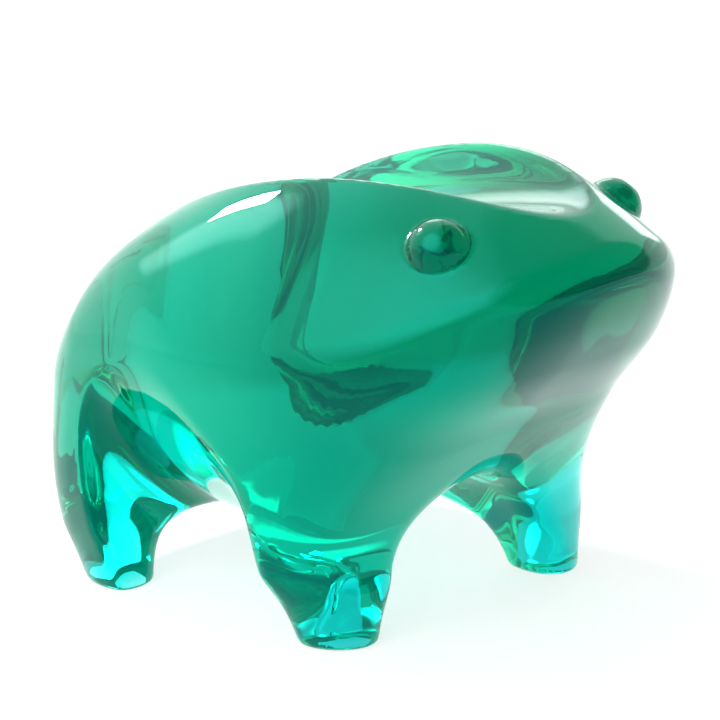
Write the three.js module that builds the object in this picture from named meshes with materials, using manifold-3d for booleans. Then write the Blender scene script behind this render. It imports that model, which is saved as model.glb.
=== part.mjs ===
// A frog cast in one piece of clear green resin, standing on four short legs.
// Millimetres, +Z up. The frog faces -Y and its left side is +X.
// The origin is on the ground under the middle of the frog's length and width.

import * as THREE from 'three';
import { mergeVertices } from 'three/addons/utils/BufferGeometryUtils.js';
import Module from 'manifold-3d';

// Driving sizes. A station is a distance ahead of the origin, towards the nose.
const widestStation = -50.5;
const crestHeight = 195.3;
const footRadius = 20.9;
const eyeRadius = 13.3;

// The trunk below the mouth line, as plans at rising heights. front and rear are
// its reaches from the widest station, half is its half width, and the last two
// say how square each end of the plan is (2 is an ellipse).
const trunkLevels = [
  { height: 0, front: 119, rear: 75, half: 99, squareFront: 4.5, squareRear: 4.0 },
  { height: 45, front: 107, rear: 87, half: 110, squareFront: 4.5, squareRear: 4.0 },
  { height: 90, front: 135, rear: 94, half: 107.5, squareFront: 3.7, squareRear: 3.4 },
  { height: 125, front: 168, rear: 91, half: 109.5, squareFront: 3.05, squareRear: 3.1 },
  { height: 160, front: 190, rear: 84.5, half: 109.5, squareFront: 2.35, squareRear: 3.1 },
  { height: 190, front: 192, rear: 74, half: 107.5, squareFront: 2.0, squareRear: 3.0 },
];

// The back above the mouth line: a low dome whose foot is a rising, bowed plane.
const back = {
  front: 228, rear: 106.8, half: 116.5, squareFront: 2.08, squareRear: 3.4,
  footHeight: 102, footSlope: 0.1753, footBow: 0.000204,
  top: 220, topStation: 78.3, topBow: 0.00189,
  crown: 2.9, lipFront: 1.06, lipRear: 1.7, lipFrom: -115.5, lipTo: -0.5,
};

// Lengths that turn each form's ratio to its own size into millimetres, and
// factors that level out forms that grow faster than distance does.
const trunkDepth = 85;
const backDepth = 75;
const hollowLevelling = 0.75;
const vaultLevelling = 0.8;
const footLevelling = 0.8;

// The leaf-shaped hollow along the back, between the two long crests.
const hollow = { station: 12.5, front: 116, rear: 105, half: 40.8, depth: 16.2, edge: 2.5 };

// The mouth line is crisp at the cheeks and melts away towards the haunches.
const mouthLine = { crisp: 2, soft: 27, softStation: -95.5, crispStation: -15.5 };
const noseRounding = { extra: 4, from: 110, to: 140 };

// The arch in each flank. Its two edges are stations at rising heights, and its
// crown drops towards the middle of the belly.
const flankArch = {
  crown: 97.4, crownInside: 22.4, fullAt: 98, most: 1.15, rounding: 34,
  frontHeights: [0, 34, 62, 95, 108],
  frontEdge: [22.5, 19, 9.5, -32.5, -47.4],
  rearHeights: [0, 28, 62, 95, 108],
  rearEdge: [-67.5, -78.5, -85.5, -90, -95.9],
};

// The vault between left and right legs, low behind and higher at the chest.
const vault = {
  chestHalf: 51.6, chestHeight: 60, rearHalf: 62, rearHeight: 26,
  from: -110.5, to: 49.5, blend: 7,
};
const archRim = { crisp: 3, soft: 12, crispStation: -85.5, softStation: -25.5 };

// The feet lean back and flare out as they rise, fastest towards the belly, and
// their soles are flat.
const frontFoot = { side: 68.7, station: 40.8, lean: 0.22 };
const rearFoot = { side: 79, station: -88, lean: 0.25 };
const footFlare = { slope: 0.3, bell: 40, bellHeight: 44, bellyHeight: 12, blend: 14, top: 60 };
const soleEdge = 3;

const eyes = { side: 56.7, station: 85, height: 177 };

// How finely the surface is cut into faces.
const cell = 8;
const bounds = { half: 120, rear: -152, front: 152, low: -1.4 * cell, high: 206 };
const flatBand = 0.6;
const halvings = 18;

// Smooth step from 0 at a to 1 at b.
function ease(a, b, v) {
  const t = Math.min(Math.max((v - a) / (b - a), 0), 1);
  return t * t * (3 - 2 * t);
}

// The larger of two values, with the corner between them rounded.
function joinMax(a, b, rounding) {
  const h = Math.max(rounding - Math.abs(a - b), 0) / rounding;
  return Math.max(a, b) + h * h * rounding * 0.25;
}

function joinMin(a, b, rounding) {
  return -joinMax(-a, -b, rounding);
}

// A smooth curve through values given at rising heights.
function curveAt(height, heights, values) {
  const last = heights.length - 1;
  const z = Math.min(Math.max(height, heights[0]), heights[last]);
  let i = 0;
  while (i < last - 1 && z >= heights[i + 1]) {
    i += 1;
  }
  const slope = (k) => (values[k + 1] - values[k]) / (heights[k + 1] - heights[k]);
  const tangent = (k) => {
    if (k === 0) return slope(0);
    if (k === last) return slope(last - 1);
    return (slope(k - 1) + slope(k)) / 2;
  };
  const step = heights[i + 1] - heights[i];
  const t = (z - heights[i]) / step;
  return (2 * t ** 3 - 3 * t ** 2 + 1) * values[i]
    + (t ** 3 - 2 * t ** 2 + t) * step * tangent(i)
    + (3 * t ** 2 - 2 * t ** 3) * values[i + 1]
    + (t ** 3 - t ** 2) * step * tangent(i + 1);
}

const levelHeights = trunkLevels.map((level) => level.height);
const levelValues = {};
for (const key of ['front', 'rear', 'half', 'squareFront', 'squareRear']) {
  levelValues[key] = trunkLevels.map((level) => level[key]);
}

function atLevel(key, z) {
  return curveAt(z, levelHeights, levelValues[key]);
}

// Each form below is negative inside, zero on its surface and positive outside.
function trunk(x, s, z) {
  const ahead = s > widestStation;
  const reach = atLevel(ahead ? 'front' : 'rear', z);
  const square = atLevel(ahead ? 'squareFront' : 'squareRear', z);
  const along = (Math.abs(s - widestStation) / reach) ** square;
  const across = (Math.abs(x) / atLevel('half', z)) ** square;
  return ((along + across) ** (1 / square) - 1) * trunkDepth;
}

function dome(x, s, z) {
  const u = s - widestStation;
  const ahead = u > 0;
  const foot = back.footHeight + back.footSlope * u + back.footBow * u * u;
  const rise = back.top - back.topBow * (s - back.topStation) ** 2 - foot;
  const square = ahead ? back.squareFront : back.squareRear;
  const lip = back.lipRear + (back.lipFront - back.lipRear) * ease(back.lipFrom, back.lipTo, s);
  const along = (Math.abs(u) / (ahead ? back.front : back.rear)) ** square;
  const plan = (along + (Math.abs(x) / back.half) ** square) ** (1 / square);
  const up = Math.max((z - foot) / rise, 0);
  return ((plan ** back.crown + up ** lip) ** (1 / back.crown) - 1) * backDepth;
}

function backHollow(x, s, z) {
  const reach = s > hollow.station ? hollow.front : hollow.rear;
  const q = ((s - hollow.station) / reach) ** 2 + (x / hollow.half) ** 2;
  const crest = crestHeight - back.topBow * (s - back.topStation) ** 2;
  return (crest - hollow.depth * (1 - q) - z) * hollowLevelling;
}

function openings(x, s, z) {
  const spread = Math.min(Math.abs(x) / flankArch.fullAt, flankArch.most) ** 2;
  const inside = flankArch.crownInside / flankArch.crown;
  const scale = inside + (1 - inside) * spread;
  const level = z / scale;
  const front = curveAt(level, flankArch.frontHeights, flankArch.frontEdge);
  const rear = curveAt(level, flankArch.rearHeights, flankArch.rearEdge);
  const crown = (level - flankArch.crown) * Math.min(scale, 1);
  const flank = joinMax(Math.max(s - front, rear - s), crown, flankArch.rounding);

  const t = ease(vault.from, vault.to, s);
  const half = vault.rearHalf + (vault.chestHalf - vault.rearHalf) * t;
  const height = vault.rearHeight + (vault.chestHeight - vault.rearHeight) * t;
  const round = Math.hypot(x / half, Math.max(z, 0) / height);
  const tunnel = (round - 1) * Math.min(half, height) * vaultLevelling;
  return joinMin(tunnel, flank, vault.blend);
}

function footColumns(x, s, z) {
  const up = Math.max(z, 0);
  const foot = s > widestStation / 2 ? frontFoot : rearFoot;
  const bell = footFlare.bell * (up / footFlare.bellHeight) ** 3;
  const radius = footRadius + footFlare.slope * up + bell;
  const off = Math.hypot(Math.abs(x) - foot.side, s - foot.station + foot.lean * up);
  const inward = Math.max(1 - Math.abs(x) / foot.side, 0);
  const opened = 1 - 1 / (1 + (up / footFlare.bellyHeight) ** 2);
  return (off * (1 - inward * opened) - radius) * footLevelling;
}

function frog(x, s, z) {
  const melt = 1 - ease(mouthLine.softStation, mouthLine.crispStation, s);
  const crease = mouthLine.crisp + (mouthLine.soft - mouthLine.crisp) * melt
    + noseRounding.extra * ease(noseRounding.from, noseRounding.to, s);
  let body = joinMax(trunk(x, s, z), dome(x, s, z), crease);
  body = joinMax(body, -backHollow(x, s, z), hollow.edge);
  const soften = ease(archRim.crispStation, archRim.softStation, s);
  const rim = archRim.crisp + (archRim.soft - archRim.crisp) * soften;
  body = joinMax(body, -openings(x, s, z), rim);
  if (z < footFlare.top) {
    body = joinMax(body, footColumns(x, s, z), footFlare.blend);
  }
  return joinMax(body, -z, soleEdge);
}

const form = (p) => frog(p.x, -p.y, p.z);

function normalAt(p) {
  const reach = 0.3;
  const slope = (axis) => {
    const a = p.clone();
    const b = p.clone();
    a[axis] += reach;
    b[axis] -= reach;
    return form(a) - form(b);
  };
  return new THREE.Vector3(slope('x'), slope('y'), slope('z')).normalize();
}

// Where the surface crosses the line from a to b.
function crossing(a, b, valueAtA) {
  const p = a.clone();
  const q = b.clone();
  const mid = new THREE.Vector3();
  for (let i = 0; i < halvings; i += 1) {
    mid.addVectors(p, q).multiplyScalar(0.5);
    if (form(mid) < 0 === valueAtA < 0) {
      p.copy(mid);
    } else {
      q.copy(mid);
    }
  }
  return mid.addVectors(p, q).multiplyScalar(0.5);
}

// The point that lies best on the tangent planes of a cell's crossings, held
// near their mean by a weak pull.
function cornerPoint(crossings) {
  const pull = 0.08;
  const mean = new THREE.Vector3();
  for (const c of crossings) {
    mean.addScaledVector(c.point, 1 / crossings.length);
  }
  const m = [pull, 0, 0, pull, 0, pull];
  const rhs = new THREE.Vector3();
  for (const { point, normal: n } of crossings) {
    m[0] += n.x * n.x;
    m[1] += n.x * n.y;
    m[2] += n.x * n.z;
    m[3] += n.y * n.y;
    m[4] += n.y * n.z;
    m[5] += n.z * n.z;
    const off = n.dot(point.clone().sub(mean));
    rhs.addScaledVector(n, off);
  }
  const normalMatrix = new THREE.Matrix3().set(
    m[0], m[1], m[2],
    m[1], m[3], m[4],
    m[2], m[4], m[5],
  );
  return rhs.applyMatrix3(normalMatrix.invert()).add(mean);
}

// Covers the surface where the form is zero with four-sided faces, one corner to
// each cell of a grid, and splits each face along its shorter diagonal.
function skin() {
  const count = {
    x: Math.round(2 * bounds.half / cell),
    y: Math.ceil((bounds.front - bounds.rear) / cell),
    z: Math.ceil((bounds.high - bounds.low) / cell),
  };
  const node = (i, j, k) => new THREE.Vector3(
    -bounds.half + i * cell,
    -bounds.front + j * cell,
    bounds.low + k * cell,
  );
  const key = (i, j, k) => (k * (count.y + 1) + j) * (count.x + 1) + i;
  const values = new Float64Array((count.x + 1) * (count.y + 1) * (count.z + 1));
  for (let k = 0; k <= count.z; k += 1) {
    for (let j = 0; j <= count.y; j += 1) {
      for (let i = 0; i <= count.x; i += 1) {
        values[key(i, j, k)] = form(node(i, j, k));
      }
    }
  }

  const steps = [[1, 0, 0], [0, 1, 0], [0, 0, 1]];
  const cells = new Map();
  const faces = [];
  for (let k = 1; k < count.z; k += 1) {
    for (let j = 1; j < count.y; j += 1) {
      for (let i = 1; i < count.x; i += 1) {
        const here = values[key(i, j, k)];
        for (let axis = 0; axis < 3; axis += 1) {
          const [a, b, c] = steps[axis];
          const there = values[key(i + a, j + b, k + c)];
          if (here < 0 === there < 0) {
            continue;
          }
          const point = crossing(node(i, j, k), node(i + a, j + b, k + c), here);
          const found = { point, normal: normalAt(point) };
          const u = steps[(axis + 1) % 3];
          const v = steps[(axis + 2) % 3];
          const ring = [[0, 0], [1, 0], [1, 1], [0, 1]].map(([p, q]) => key(
            i - p * u[0] - q * v[0],
            j - p * u[1] - q * v[1],
            k - p * u[2] - q * v[2],
          ));
          for (const id of ring) {
            if (!cells.has(id)) {
              cells.set(id, []);
            }
            cells.get(id).push(found);
          }
          faces.push(here < 0 ? ring : ring.reverse());
        }
      }
    }
  }

  const positions = [];
  const corners = new Map();
  for (const [id, crossings] of cells) {
    const p = cornerPoint(crossings);
    if (Math.abs(p.z) < flatBand) {
      p.z = 0;
    }
    corners.set(id, { p, index: positions.length / 3 });
    positions.push(p.x, p.y, p.z);
  }
  const index = [];
  for (const ring of faces) {
    const [a, b, c, d] = ring.map((id) => corners.get(id));
    if (a.p.distanceTo(c.p) <= b.p.distanceTo(d.p)) {
      index.push(a.index, b.index, c.index, a.index, c.index, d.index);
    } else {
      index.push(a.index, b.index, d.index, b.index, c.index, d.index);
    }
  }
  const geometry = new THREE.BufferGeometry();
  geometry.setAttribute('position', new THREE.Float32BufferAttribute(positions, 3));
  geometry.setIndex(index);
  return geometry;
}

const wasm = await Module();
wasm.setup();

function toSolid(geometry) {
  geometry.deleteAttribute('normal');
  geometry.deleteAttribute('uv');
  const merged = mergeVertices(geometry);
  return new wasm.Manifold(new wasm.Mesh({
    numProp: 3,
    vertProperties: new Float32Array(merged.attributes.position.array),
    triVerts: new Uint32Array(merged.index.array),
  }));
}

function toGeometry(solid) {
  const mesh = solid.getMesh();
  const geometry = new THREE.BufferGeometry();
  geometry.setAttribute('position', new THREE.BufferAttribute(mesh.vertProperties, 3));
  geometry.setIndex(new THREE.BufferAttribute(mesh.triVerts, 1));
  geometry.computeVertexNormals();
  return geometry;
}

// A bead standing out of the side of the head.
function eye(side) {
  const bead = new THREE.SphereGeometry(eyeRadius, 24, 14);
  bead.translate(side * eyes.side, -eyes.station, eyes.height);
  return toSolid(bead);
}

const resin = new THREE.MeshPhysicalMaterial({
  color: 0x0bb39a,
  roughness: 0.03,
  metalness: 0,
  transmission: 1,
  ior: 1.5,
});

const cast = toSolid(skin()).add(eye(1)).add(eye(-1));
const frogMesh = new THREE.Mesh(toGeometry(cast), resin);
frogMesh.name = 'frog';

const sculpture = new THREE.Group();
sculpture.add(frogMesh);

export default sculpture;
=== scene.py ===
import math

import bpy
import numpy as np
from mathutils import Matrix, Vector


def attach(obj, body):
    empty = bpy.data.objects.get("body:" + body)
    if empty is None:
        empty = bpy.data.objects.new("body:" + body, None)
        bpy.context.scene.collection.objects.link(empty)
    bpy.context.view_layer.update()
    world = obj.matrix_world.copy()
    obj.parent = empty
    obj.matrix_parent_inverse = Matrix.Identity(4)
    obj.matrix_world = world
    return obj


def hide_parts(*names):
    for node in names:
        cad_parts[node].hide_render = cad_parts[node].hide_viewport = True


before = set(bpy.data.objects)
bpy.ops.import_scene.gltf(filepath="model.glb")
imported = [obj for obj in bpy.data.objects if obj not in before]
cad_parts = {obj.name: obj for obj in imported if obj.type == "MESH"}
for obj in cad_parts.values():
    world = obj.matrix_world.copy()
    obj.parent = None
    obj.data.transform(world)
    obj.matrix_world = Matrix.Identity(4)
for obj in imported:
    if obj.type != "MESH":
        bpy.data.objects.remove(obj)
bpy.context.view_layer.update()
scene = bpy.context.scene
print("frame loaded:", ", ".join(sorted(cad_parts)))

# The frog's form, in millimetres. A station is how far a point lies ahead of the origin, towards the nose.
frogForm = {
    "widestStation": -50.5,
    "trunkHeights": [0, 45, 90, 125, 160, 190],
    "trunkFront": [119, 107, 135, 168, 190, 192],     # reach ahead of the widest station
    "trunkRear": [75, 87, 94, 91, 84.5, 74],          # reach behind it
    "trunkHalf": [99, 110, 107.5, 109.5, 109.5, 107.5],
    "squareFront": [4.5, 4.5, 3.7, 3.05, 2.35, 2.0],  # 2 is an ellipse, more is squarer
    "squareRear": [4.0, 4.0, 3.4, 3.1, 3.1, 3.0],
    "backFront": 228, "backRear": 106.8, "backHalf": 116.5,
    "backSquareFront": 2.08, "backSquareRear": 3.4,
    "backFoot": 102, "backSlope": 0.1753, "backBow": 0.000204,
    "backTop": 220, "topStation": 78.3, "topBow": 0.00189,
    "crown": 2.9, "lipFront": 1.06, "lipRear": 1.7, "lipFrom": -115.5, "lipTo": -0.5,
    "crest": 195.3,
    "hollowStation": 12.5, "hollowFront": 116, "hollowRear": 105, "hollowHalf": 40.8,
    "hollowDepth": 16.2, "hollowEdge": 2.5,
    "mouthCrisp": 2, "mouthSoft": 27, "mouthSoftStation": -95.5, "mouthCrispStation": -15.5,
    "noseExtra": 4, "noseFrom": 110, "noseTo": 140,
    "archCrown": 97.4, "archCrownInside": 22.4, "archFullAt": 98, "archMost": 1.15, "archRounding": 34,
    "archFrontHeights": [0, 34, 62, 95, 108], "archFront": [22.5, 19, 9.5, -32.5, -47.4],
    "archRearHeights": [0, 28, 62, 95, 108], "archRear": [-67.5, -78.5, -85.5, -90, -95.9],
    "chestHalf": 51.6, "chestHeight": 60, "rearHalf": 62, "rearHeight": 26,
    "vaultFrom": -110.5, "vaultTo": 49.5, "vaultBlend": 7,
    "rimCrisp": 3, "rimSoft": 12, "rimCrispStation": -85.5, "rimSoftStation": -25.5,
    "footRadius": 20.9, "frontFoot": (68.7, 40.8, 0.22), "rearFoot": (79, -88, 0.25),
    "footSlope": 0.3, "bellHeight": 44, "bellyHeight": 12, "footBlend": 14, "footTop": 60, "soleEdge": 3,
    "eyeRadius": 13.3, "eyeSide": 56.7, "eyeStation": 85, "eyeHeight": 177, "eyeCrease": 1.2,
    "step": 2.0,                                      # how finely the surface is cut
    "low": (-113, -146, -5), "high": (113, 146, 203),
}


def easeStep(low, high, value):
    t = np.clip((value - low) / (high - low), 0, 1)
    return t * t * (3 - 2 * t)


def joinMax(a, b, rounding):
    h = np.maximum(rounding - np.abs(a - b), 0) / rounding
    return np.maximum(a, b) + h * h * rounding * 0.25


def joinMin(a, b, rounding):
    return -joinMax(-a, -b, rounding)


# A smooth curve through values given at rising heights.
def curveThrough(height, heights, values):
    heights = np.array(heights, float)
    values = np.array(values, float)
    z = np.clip(height, heights[0], heights[-1])
    i = np.clip(np.searchsorted(heights, z, side="right") - 1, 0, len(heights) - 2)
    slopes = np.diff(values) / np.diff(heights)
    tangents = np.concatenate([slopes[:1], (slopes[1:] + slopes[:-1]) / 2, slopes[-1:]])
    step = heights[i + 1] - heights[i]
    t = (z - heights[i]) / step
    return (
        (2 * t**3 - 3 * t**2 + 1) * values[i]
        + (t**3 - 2 * t**2 + t) * step * tangents[i]
        + (3 * t**2 - 2 * t**3) * values[i + 1]
        + (t**3 - t**2) * step * tangents[i + 1]
    )


# Each form is negative inside, zero on its surface and positive outside.
def trunk(x, s, z, f):
    ahead = s > f["widestStation"]
    front = curveThrough(z, f["trunkHeights"], f["trunkFront"])
    rear = curveThrough(z, f["trunkHeights"], f["trunkRear"])
    half = curveThrough(z, f["trunkHeights"], f["trunkHalf"])
    squareFront = curveThrough(z, f["trunkHeights"], f["squareFront"])
    squareRear = curveThrough(z, f["trunkHeights"], f["squareRear"])
    square = np.where(ahead, squareFront, squareRear)
    along = (np.abs(s - f["widestStation"]) / np.where(ahead, front, rear)) ** square
    across = (np.sqrt(x * x + 1) / half) ** square
    return ((along + across + 1e-9) ** (1 / square) - 1) * 85


def dome(x, s, z, f):
    u = s - f["widestStation"]
    ahead = u > 0
    foot = f["backFoot"] + f["backSlope"] * u + f["backBow"] * u * u
    rise = f["backTop"] - f["topBow"] * (s - f["topStation"]) ** 2 - foot
    square = np.where(ahead, f["backSquareFront"], f["backSquareRear"])
    lip = f["lipRear"] + (f["lipFront"] - f["lipRear"]) * easeStep(f["lipFrom"], f["lipTo"], s)
    along = (np.abs(u) / np.where(ahead, f["backFront"], f["backRear"])) ** square
    plan = (along + (np.sqrt(x * x + 1) / f["backHalf"]) ** square + 1e-9) ** (1 / square)
    up = np.maximum((z - foot) / rise, 0)
    return ((plan ** f["crown"] + up**lip + 1e-9) ** (1 / f["crown"]) - 1) * 75


def backHollow(x, s, z, f):
    reach = np.where(s > f["hollowStation"], f["hollowFront"], f["hollowRear"])
    q = ((s - f["hollowStation"]) / reach) ** 2 + (x / f["hollowHalf"]) ** 2
    crest = f["crest"] - f["topBow"] * (s - f["topStation"]) ** 2
    return (crest - f["hollowDepth"] * (1 - q) - z) * 0.75


# The arches in the flanks, and the vault between left and right legs.
def openings(x, s, z, f):
    spread = np.minimum(np.abs(x) / f["archFullAt"], f["archMost"]) ** 2
    inside = f["archCrownInside"] / f["archCrown"]
    scale = inside + (1 - inside) * spread
    level = z / scale
    front = curveThrough(level, f["archFrontHeights"], f["archFront"])
    rear = curveThrough(level, f["archRearHeights"], f["archRear"])
    crown = (level - f["archCrown"]) * np.minimum(scale, 1)
    flank = joinMax(np.maximum(s - front, rear - s), crown, f["archRounding"])
    t = easeStep(f["vaultFrom"], f["vaultTo"], s)
    half = f["rearHalf"] + (f["chestHalf"] - f["rearHalf"]) * t
    height = f["rearHeight"] + (f["chestHeight"] - f["rearHeight"]) * t
    vault = (np.hypot(x / half, np.maximum(z, 0) / height) - 1) * np.minimum(half, height) * 0.8
    return joinMin(vault, flank, f["vaultBlend"])


def footColumns(x, s, z, f):
    up = np.maximum(z, 0)
    ahead = s > f["widestStation"] / 2
    side, station, lean = (np.where(ahead, a, b) for a, b in zip(f["frontFoot"], f["rearFoot"]))
    radius = f["footRadius"] + f["footSlope"] * up + 40 * (up / f["bellHeight"]) ** 3
    off = np.hypot(np.abs(x) - side, s - station + lean * up)
    inward = np.maximum(1 - np.abs(x) / side, 0)
    opened = 1 - 1 / (1 + (up / f["bellyHeight"]) ** 2)
    return (off * (1 - inward * opened) - radius) * 0.8


def frogBody(x, y, z, f=frogForm):
    s = -y
    melt = 1 - easeStep(f["mouthSoftStation"], f["mouthCrispStation"], s)
    crease = f["mouthCrisp"] + (f["mouthSoft"] - f["mouthCrisp"]) * melt
    crease = crease + f["noseExtra"] * easeStep(f["noseFrom"], f["noseTo"], s)
    body = joinMax(trunk(x, s, z, f), dome(x, s, z, f), crease)
    body = joinMax(body, -backHollow(x, s, z, f), f["hollowEdge"])
    soften = easeStep(f["rimCrispStation"], f["rimSoftStation"], s)
    rim = f["rimCrisp"] + (f["rimSoft"] - f["rimCrisp"]) * soften
    body = joinMax(body, -openings(x, s, z, f), rim)
    trimmed = joinMax(body, footColumns(x, s, z, f), f["footBlend"])
    body = np.where(z < f["footTop"], trimmed, body)
    eye = np.sqrt((np.abs(x) - f["eyeSide"]) ** 2 + (s - f["eyeStation"]) ** 2 + (z - f["eyeHeight"]) ** 2)
    body = joinMin(body, eye - f["eyeRadius"], f["eyeCrease"])
    return joinMax(body, -z, f["soleEdge"])


def slopeOf(form, points, reach=0.25):
    slope = np.empty_like(points)
    for axis in range(3):
        ahead, behind = points.copy(), points.copy()
        ahead[:, axis] += reach
        behind[:, axis] -= reach
        slope[:, axis] = (form(*ahead.T) - form(*behind.T)) / (2 * reach)
    return slope


# Where the surface crosses each grid edge that starts at a point and runs one step along an axis.
def crossings(form, start, axis, step, startsInside):
    near, far = np.zeros(len(start)), np.ones(len(start))
    for _ in range(12):
        middle = (near + far) / 2
        points = start.copy()
        points[:, axis] += middle * step
        same = (form(*points.T) < 0) == startsInside
        near, far = np.where(same, middle, near), np.where(same, far, middle)
    points = start.copy()
    points[:, axis] += (near + far) / 2 * step
    return points


# Covers the surface where the form is zero with four-sided faces, one corner to each cell of a grid.
def skinOf(form, low, high, step):
    counts = [int(math.ceil((high[axis] - low[axis]) / step)) for axis in range(3)]
    ticks = [low[axis] + step * np.arange(counts[axis] + 1) for axis in range(3)]
    inside = form(*np.meshgrid(*ticks, indexing="ij")) < 0
    units = np.eye(3, dtype=int)
    found = {"points": [], "rings": []}
    for axis in range(3):
        here = tuple(slice(0, -1) if a == axis else slice(None) for a in range(3))
        there = tuple(slice(1, None) if a == axis else slice(None) for a in range(3))
        index = np.argwhere(inside[here] != inside[there])
        startsInside = inside[tuple(index.T)]
        start = np.array(low) + step * index
        u, v = units[(axis + 1) % 3], units[(axis + 2) % 3]
        ring = [index - p * u - q * v for p, q in ((0, 0), (1, 0), (1, 1), (0, 1))]
        ring = np.stack([np.ravel_multi_index(cell.T, counts) for cell in ring], axis=1)
        ring[~startsInside] = ring[~startsInside][:, ::-1]
        found["points"].append(crossings(form, start, axis, step, startsInside))
        found["rings"].append(ring)
    points, rings = np.concatenate(found["points"]), np.concatenate(found["rings"])
    normals = slopeOf(form, points)
    normals /= np.linalg.norm(normals, axis=1, keepdims=True)

    cells, faces = np.unique(rings, return_inverse=True)
    faces = faces.reshape(rings.shape)
    owner = faces.ravel()
    each = np.repeat(np.arange(len(points)), 4)

    def gather(weights):
        return np.bincount(owner, weights=weights[each], minlength=len(cells))

    share = gather(np.ones(len(points)))
    mean = np.stack([gather(points[:, a]) / share for a in range(3)], axis=1)
    planes = np.empty((len(cells), 3, 3))
    target = np.empty((len(cells), 3))
    offset = (normals * points).sum(axis=1)
    for a in range(3):
        for b in range(3):
            planes[:, a, b] = gather(normals[:, a] * normals[:, b]) + (0.1 if a == b else 0)
        target[:, a] = gather(normals[:, a] * offset)
    target -= np.einsum("nab,nb->na", planes - 0.1 * np.eye(3), mean)
    corners = mean + np.linalg.solve(planes, target[..., None])[..., 0]
    for _ in range(3):                                # settle each corner onto the surface
        slope = slopeOf(form, corners)
        pull = form(*corners.T) / np.maximum((slope**2).sum(axis=1), 1e-6)
        corners -= np.clip(pull, -1, 1)[:, None] * slope
    corners[np.abs(corners[:, 2]) < 0.08, 2] = 0      # flat soles
    return corners, faces


def meshObject(name, corners, faces):
    mesh = bpy.data.meshes.new(name)
    mesh.vertices.add(len(corners))
    mesh.vertices.foreach_set("co", np.ascontiguousarray(corners, dtype=np.float32).ravel())
    mesh.loops.add(faces.size)
    mesh.loops.foreach_set("vertex_index", np.ascontiguousarray(faces, dtype=np.int32).ravel())
    mesh.polygons.add(len(faces))
    mesh.polygons.foreach_set("loop_start", np.arange(0, faces.size, faces.shape[1], dtype=np.int32))
    mesh.update(calc_edges=True)
    mesh.validate()
    mesh.shade_smooth()
    thing = bpy.data.objects.new(name, mesh)
    scene.collection.objects.link(thing)
    return thing


# A socket whose arithmetic adds nodes to its tree.
class Wire:
    def __init__(self, tree, socket):
        self.tree = tree
        self.socket = socket

    def node(self, kind, settings=None, out=0, **inputs):
        made = self.tree.nodes.new(kind)
        for key, value in (settings or {}).items():
            if key == "stops":
                ramp = made.color_ramp
                while len(ramp.elements) < len(value):
                    ramp.elements.new(1)
                for element, (place, colour) in zip(ramp.elements, value):
                    element.position, element.color = place, colour
            else:
                setattr(made, key, value)
        for key, value in inputs.items():
            name = key.replace("_", " ")
            socket = made.inputs[int(name[1:])] if name[0] == "i" and name[1:].isdigit() else made.inputs[name]
            if isinstance(value, Wire):
                self.tree.links.new(value.socket, socket)
            else:
                socket.default_value = value
        return Wire(self.tree, made.outputs[out] if made.outputs else None)

    def maths(self, operation, a, b=0.0):
        return self.node("ShaderNodeMath", {"operation": operation}, i0=a, i1=b)

    def __add__(self, other):
        return self.maths("ADD", self, other)

    def __sub__(self, other):
        return self.maths("SUBTRACT", self, other)

    def __truediv__(self, other):
        return self.maths("DIVIDE", self, other)

    def __rsub__(self, other):
        return self.maths("SUBTRACT", other, self)

    def __mul__(self, other):
        return self.maths("MULTIPLY", self, other)

    def between(self, low, high):
        return self.node("ShaderNodeMapRange", {"interpolation_type": "SMOOTHSTEP"}, i0=self, i1=low, i2=high)

    __radd__ = __add__
    __rmul__ = __mul__


def newMaterial(name):
    material = bpy.data.materials.new(name)
    material.use_nodes = True
    material.node_tree.nodes.clear()
    return material, Wire(material.node_tree, None)


resinFinish = {
    "absorbColour": (0.0, 0.968, 0.951, 1),           # what a metre of resin lets through, with the density
    "absorbDensity": 142.0,
    "ior": 1.5,
    "gleamTint": (0.06, 1.0, 0.96, 1),                # reflections seen straight on
    "tint": (0.93, 1.0, 0.985, 1),
    "tintWorn": (0.88, 0.99, 0.965, 1),
    "headShadeTint": (0.02, 0.15, 0.055, 1),               # painted shade: the head is coloured dark green, in place of the shade seen through it
    "headShadeFrom": -0.05, "headShadeTo": 0.075,               # stations, in metres
    # painted shade: the throat below the mouth line is darkened towards the nose
    "throatShadeTint": (0.2, 0.3, 0.32, 1),
    "throatShadeFrom": -0.015, "throatShadeTo": 0.075,
    "paintedGlowTint": (0.0, 0.5, 0.4, 1),                   # painted light: the resin glows by itself, in place of the little light that it scatters
    "glow": 0.09,
    "roughness": 0.0,
    "haze": 0.01,                                     # how much a hazier patch adds
    "rippleScale": 14.0,                              # ripples of the polish, per metre
    "rippleHeight": 0.0004,
}


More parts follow.
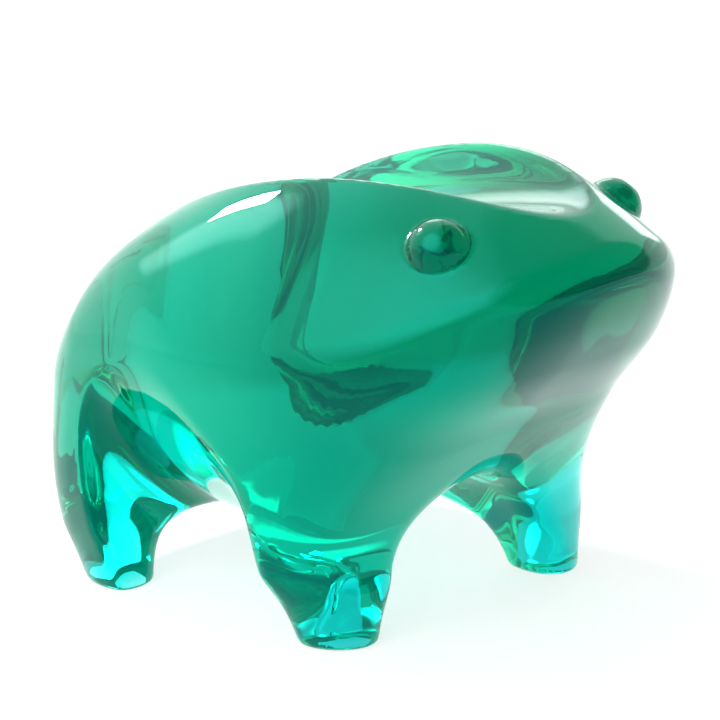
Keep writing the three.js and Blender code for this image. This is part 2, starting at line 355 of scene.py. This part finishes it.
def clearResin(r=resinFinish):
    material, w = newMaterial("clearResin")
    place = w.node("ShaderNodeTexCoord", out=3)
    cloud = w.node("ShaderNodeTexNoise", Vector=place, Scale=9.0, Detail=3.0)
    smear = w.node("ShaderNodeTexNoise", Vector=place, Scale=46.0, Detail=4.0, Distortion=0.6)
    patch = w.node("ShaderNodeValToRGB", {"stops": [(0.52, (0, 0, 0, 1)), (0.75, (1, 1, 1, 1))]}, Fac=smear)
    clear = w.node("ShaderNodeMix", {"data_type": "RGBA"}, out=2, i0=cloud, i6=r["tint"], i7=r["tintWorn"])
    height = w.node("ShaderNodeSeparateXYZ", out=2, i0=place)
    station = 0 - w.node("ShaderNodeSeparateXYZ", out=1, i0=place)
    along = station - frogForm["widestStation"] / 1000
    mouthLine = frogForm["backFoot"] / 1000 + along * frogForm["backSlope"]
    mouthLine = mouthLine + along * along * (frogForm["backBow"] * 1000)
    aboveMouth = (height - mouthLine).between(-0.004, 0.006)
    # painted shade: the head above the mouth line darkens towards the nose
    headShade = station.between(r["headShadeFrom"], r["headShadeTo"])
    # painted shade: the throat below the mouth line darkens towards the nose
    ahead = station.between(r["throatShadeFrom"], r["throatShadeTo"])
    lower = w.node("ShaderNodeMix", {"data_type": "RGBA"}, out=2, i0=ahead, i6=clear, i7=r["throatShadeTint"])
    upper = w.node("ShaderNodeMix", {"data_type": "RGBA"}, out=2, i0=headShade, i6=clear, i7=r["headShadeTint"])
    colour = w.node("ShaderNodeMix", {"data_type": "RGBA"}, out=2, i0=aboveMouth, i6=lower, i7=upper)
    ripple = w.node("ShaderNodeTexNoise", Vector=place, Scale=r["rippleScale"], Detail=1.5, Roughness=0.4)
    bump = w.node("ShaderNodeBump", Strength=0.35, Distance=r["rippleHeight"], Height=ripple)
    # painted light: the emission makes the resin glow by itself, lit by no lamp
    glass = w.node(
        "ShaderNodeBsdfPrincipled", Base_Color=colour, Roughness=patch * r["haze"] + r["roughness"],
        IOR=r["ior"], Transmission_Weight=1.0, Specular_Tint=r["gleamTint"], Normal=bump,
        Emission_Color=r["paintedGlowTint"], Emission_Strength=r["glow"],
    )
    tint = w.node("ShaderNodeVolumeAbsorption", Color=r["absorbColour"], Density=r["absorbDensity"])
    w.node("ShaderNodeOutputMaterial", Surface=glass, Volume=tint)
    return material


polish = {
    "Wave Height": 0.00022,                           # metres that the hand polish leaves proud or low
    "Wave Scale": 17.0,
    "Seed": 4.0,
}


# Geometry nodes: the long, shallow waves that polishing by hand leaves in a cast surface.
def polishTree(material):
    tree = bpy.data.node_groups.new("handPolish", "GeometryNodeTree")
    tree.interface.new_socket("Geometry", in_out="INPUT", socket_type="NodeSocketGeometry")
    for name, value in polish.items():
        socket = tree.interface.new_socket(name, in_out="INPUT", socket_type="NodeSocketFloat")
        socket.default_value = value
    tree.interface.new_socket("Geometry", in_out="OUTPUT", socket_type="NodeSocketGeometry")
    w = Wire(tree, None)
    given = tree.nodes.new("NodeGroupInput")
    skin, height, scale, seed = (Wire(tree, given.outputs[i]) for i in range(4))
    place = w.node("GeometryNodeInputPosition")
    normal = w.node("GeometryNodeInputNormal")
    wave = w.node(
        "ShaderNodeTexNoise", {"noise_dimensions": "4D"}, Vector=place, W=seed, Scale=scale,
        Detail=2.0, Roughness=0.45,
    )
    up = w.node("ShaderNodeSeparateXYZ", out=2, i0=place)
    clearOfSoles = w.node("ShaderNodeMapRange", i0=up, i1=0.003, i2=0.02, i3=0.0, i4=1.0)
    lift = (wave - 0.5) * height * clearOfSoles
    offset = w.node("ShaderNodeVectorMath", {"operation": "SCALE"}, i0=normal, Scale=lift)
    moved = w.node("GeometryNodeSetPosition", Geometry=skin, Offset=offset)
    smooth = w.node("GeometryNodeSetShadeSmooth", i0=moved)
    solid = w.node("GeometryNodeRealizeInstances", i0=smooth)
    done = w.node("GeometryNodeSetMaterial", i0=solid, Material=material)
    taken = tree.nodes.new("NodeGroupOutput")
    tree.links.new(done.socket, taken.inputs[0])
    return tree


def applyTree(thing, tree, values):
    modifier = thing.modifiers.new(tree.name, "NODES")
    modifier.node_group = tree
    for item in tree.interface.items_tree:
        if item.in_out == "INPUT" and item.name in values:
            modifier[item.identifier] = values[item.name]
    evaluated = thing.evaluated_get(bpy.context.evaluated_depsgraph_get())
    result = bpy.data.meshes.new_from_object(evaluated)
    result.name = thing.name
    thing.modifiers.clear()
    thing.data = result


corners, faces = skinOf(frogBody, frogForm["low"], frogForm["high"], frogForm["step"])
frogCast = meshObject("frogCast", corners / 1000, faces)
print("frog skin:", len(faces), "faces")
resin = clearResin()
applyTree(frogCast, polishTree(resin), polish)
print("hand polish done:", [m.name for m in frogCast.data.materials])
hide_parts("frog")
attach(frogCast, "root")

studio = {
    "floorSize": 9.0,
    "floorColour": (0.2, 0.2, 0.2, 1),                # the floor glows by itself, so that little shadow falls
    "floorGlow": 0.76, "floorGlowFar": 0.95,
    "farFrom": 0.3, "farTo": 1.1,
    "roomLight": 1.0,
    # a part of the room that is brighter or darker: azimuth, elevation, full and outer spread, change
    "panels": [
        ("rearWall", -160, 30, 50, 90, 0.5),
        ("darkRoom", 25, 38, 50, 57, -0.85),
        ("sideCard", -82, 40, 12, 42, 3.0),
        ("flashHalo", -172, 35, 4, 12, 3.0),
        ("footCard", 138, 27, 4, 12, 2.6),
        ("farFootCard", 112, 10, 3, 9, 3.0),
    ],
    # dark gaps between the panels, each along the great circle through two directions
    "gaps": [((-111, 17), (-110, 48)), ((-151, 32), (-122, 60))],
    "gapWidth": 0.008,
    # name, azimuth, elevation, distance, width, height, watts, colour
    "lamps": [
        ("keyFlash", 179, 37, 1.5, 0.16, 0.16, 30, (1, 1, 1)),
    ],
}


# A direction from an azimuth and elevation: azimuth 0 is ahead of the frog.
def towards(azimuth, elevation):
    a, e = math.radians(azimuth), math.radians(elevation)
    return Vector((math.sin(a) * math.cos(e), -math.cos(a) * math.cos(e), math.sin(e)))


def studioFloor(c=studio):
    material, w = newMaterial("paleFloor")
    place = w.node("ShaderNodeTexCoord", out=3)
    speck = w.node("ShaderNodeTexNoise", Vector=place, Scale=3.0, Detail=2.0)
    shade = w.node(
        "ShaderNodeMix", {"data_type": "RGBA"}, out=2, i0=speck, i6=c["floorColour"], i7=(0.21, 0.21, 0.21, 1)
    )
    back = w.node("ShaderNodeVectorMath", {"operation": "DOT_PRODUCT"}, out=1, i0=place, i1=-towards(-47, 0))
    far = back.between(c["farFrom"], c["farTo"])
    near, bright = ((c[key],) * 3 + (1,) for key in ("floorGlow", "floorGlowFar"))
    glow = w.node("ShaderNodeMix", {"data_type": "RGBA"}, out=2, i0=far, i6=near, i7=bright)
    matt = w.node(
        "ShaderNodeBsdfPrincipled", Base_Color=shade, Roughness=0.9, Emission_Color=glow, Emission_Strength=1.0
    )
    w.node("ShaderNodeOutputMaterial", Surface=matt)
    half = c["floorSize"] / 2
    square = np.array([(-half, -half, 0), (half, -half, 0), (half, half, 0), (-half, half, 0)])
    floor = meshObject("floor", square, np.array([[0, 1, 2, 3]]))
    floor.data.materials.append(material)


def studioLight(c=studio):
    world = bpy.data.worlds.new("studio")
    world.use_nodes = True
    world.node_tree.nodes.clear()
    w = Wire(world.node_tree, None)
    direction = w.node("ShaderNodeTexCoord", out=0)

    def spread(centre):
        return w.node("ShaderNodeVectorMath", {"operation": "DOT_PRODUCT"}, out=1, i0=direction, i1=centre)

    light = 0.0
    for name, azimuth, elevation, full, outer, change in c["panels"]:
        edges = (math.cos(math.radians(angle)) for angle in (outer, full))
        light = spread(towards(azimuth, elevation)).between(*edges) * change + light
    gap = 1.0
    for first, second in c["gaps"]:
        side = towards(*first).cross(towards(*second)).normalized()
        nearGap = w.maths("ABSOLUTE", spread(side)).between(0.0, c["gapWidth"])
        gap = nearGap * gap
    sky = w.node("ShaderNodeBackground", Color=(1, 1, 1, 1), Strength=w.maths("MAXIMUM", light + c["roomLight"], 0.04))
    w.node("ShaderNodeOutputWorld", Surface=sky)
    scene.world = world
    for name, azimuth, elevation, distance, width, height, watts, colour in c["lamps"]:
        lamp = bpy.data.lights.new(name, "AREA")
        lamp.shape = "RECTANGLE"
        lamp.size, lamp.size_y = width, height
        lamp.energy = watts
        lamp.color = colour
        thing = bpy.data.objects.new(name, lamp)
        thing.location = Vector((0, 0, 0.1)) + towards(azimuth, elevation) * distance
        thing.rotation_euler = (Vector((0, 0, 0.1)) - thing.location).to_track_quat("-Z", "Y").to_euler()
        scene.collection.objects.link(thing)


view = {
    "aim": (0.02503, 0.03502, 0.09275),               # the point at the middle of the picture
    "azimuth": -47.02,
    "elevation": 14.97,
    "distance": 1.43635,
    "lens": 156.12,
}


def studioCamera(v=view):
    lens = bpy.data.cameras.new("camera")
    lens.lens = v["lens"]
    lens.sensor_width = 36
    lens.clip_end = 30
    camera = bpy.data.objects.new("camera", lens)
    back = towards(v["azimuth"], v["elevation"])
    camera.location = Vector(v["aim"]) + back * v["distance"]
    camera.rotation_euler = (-back).to_track_quat("-Z", "Y").to_euler()
    scene.collection.objects.link(camera)
    scene.camera = camera


studioFloor()
studioLight()
studioCamera()
scene.view_settings.view_transform = "Standard"
scene.cycles.max_bounces = 24
scene.cycles.transmission_bounces = 20
scene.cycles.glossy_bounces = 12
print("studio set")
